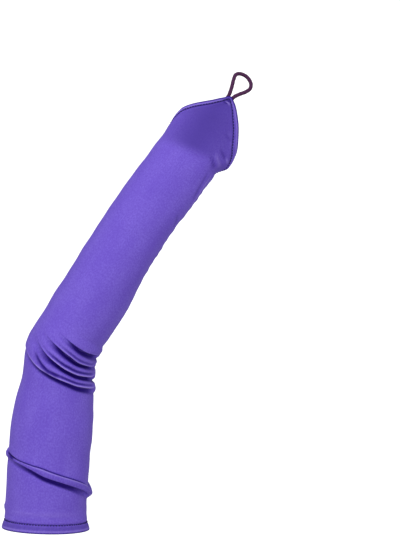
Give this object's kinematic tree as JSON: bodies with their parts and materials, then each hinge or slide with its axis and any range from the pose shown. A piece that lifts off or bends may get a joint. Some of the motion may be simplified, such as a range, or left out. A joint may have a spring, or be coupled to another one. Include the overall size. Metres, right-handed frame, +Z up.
{
  "type": "evening mitten",
  "caption": "Long fingerless evening mitten of stretch satin, worn form, with a pointed hand end, a hemmed arm opening and an elastic finger loop.",
  "frame": {"origin": "centre of the arm opening, level with the lower edge of the arm hem", "axes": "+Z up along the upper arm, +X towards the thumb side, -Y out of the back of the hand"},
  "size_m": [0.2626, 0.0938, 0.4787],
  "materials": {
    "satin": "purple stretch satin, fine weave, soft sheen",
    "satin_hem": "the same satin turned and topstitched, a little darker",
    "elastic": "dark purple covered elastic, matt"
  },
  "bodies": {
    "root": {"upper_sleeve": "satin", "forearm_sleeve": "satin", "arm_hem": "satin_hem", "point_hem": "satin_hem", "finger_loop": "elastic"}
  },
  "joints": []
}
